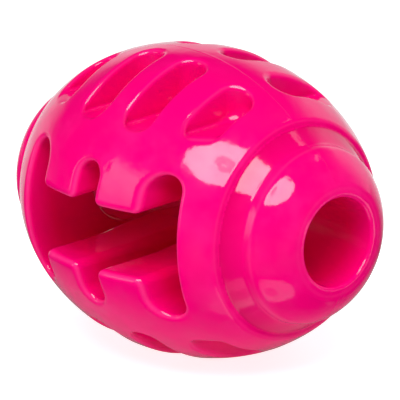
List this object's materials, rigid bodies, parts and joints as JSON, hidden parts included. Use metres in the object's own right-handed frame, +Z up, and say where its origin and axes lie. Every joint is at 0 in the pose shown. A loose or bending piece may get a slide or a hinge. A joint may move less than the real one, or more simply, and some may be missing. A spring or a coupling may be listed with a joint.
{
  "type": "rugby ball dog toy",
  "caption": "Rugby ball shaped rubber chew toy with a toothed window through its middle, grip pockets above and below, and a bored nose at each end",
  "frame": {"origin": "centre of the ball, on its long axis midway between the two nose end faces", "axes": "+X along the long axis towards one nose, +Z up, square to the toothed windows, which open towards -Y and +Y"},
  "size_m": [0.1044, 0.0768, 0.08],
  "materials": {
    "pink_rubber": "glossy"
  },
  "bodies": {
    "root": {"ball_body": "pink_rubber"}
  },
  "joints": []
}
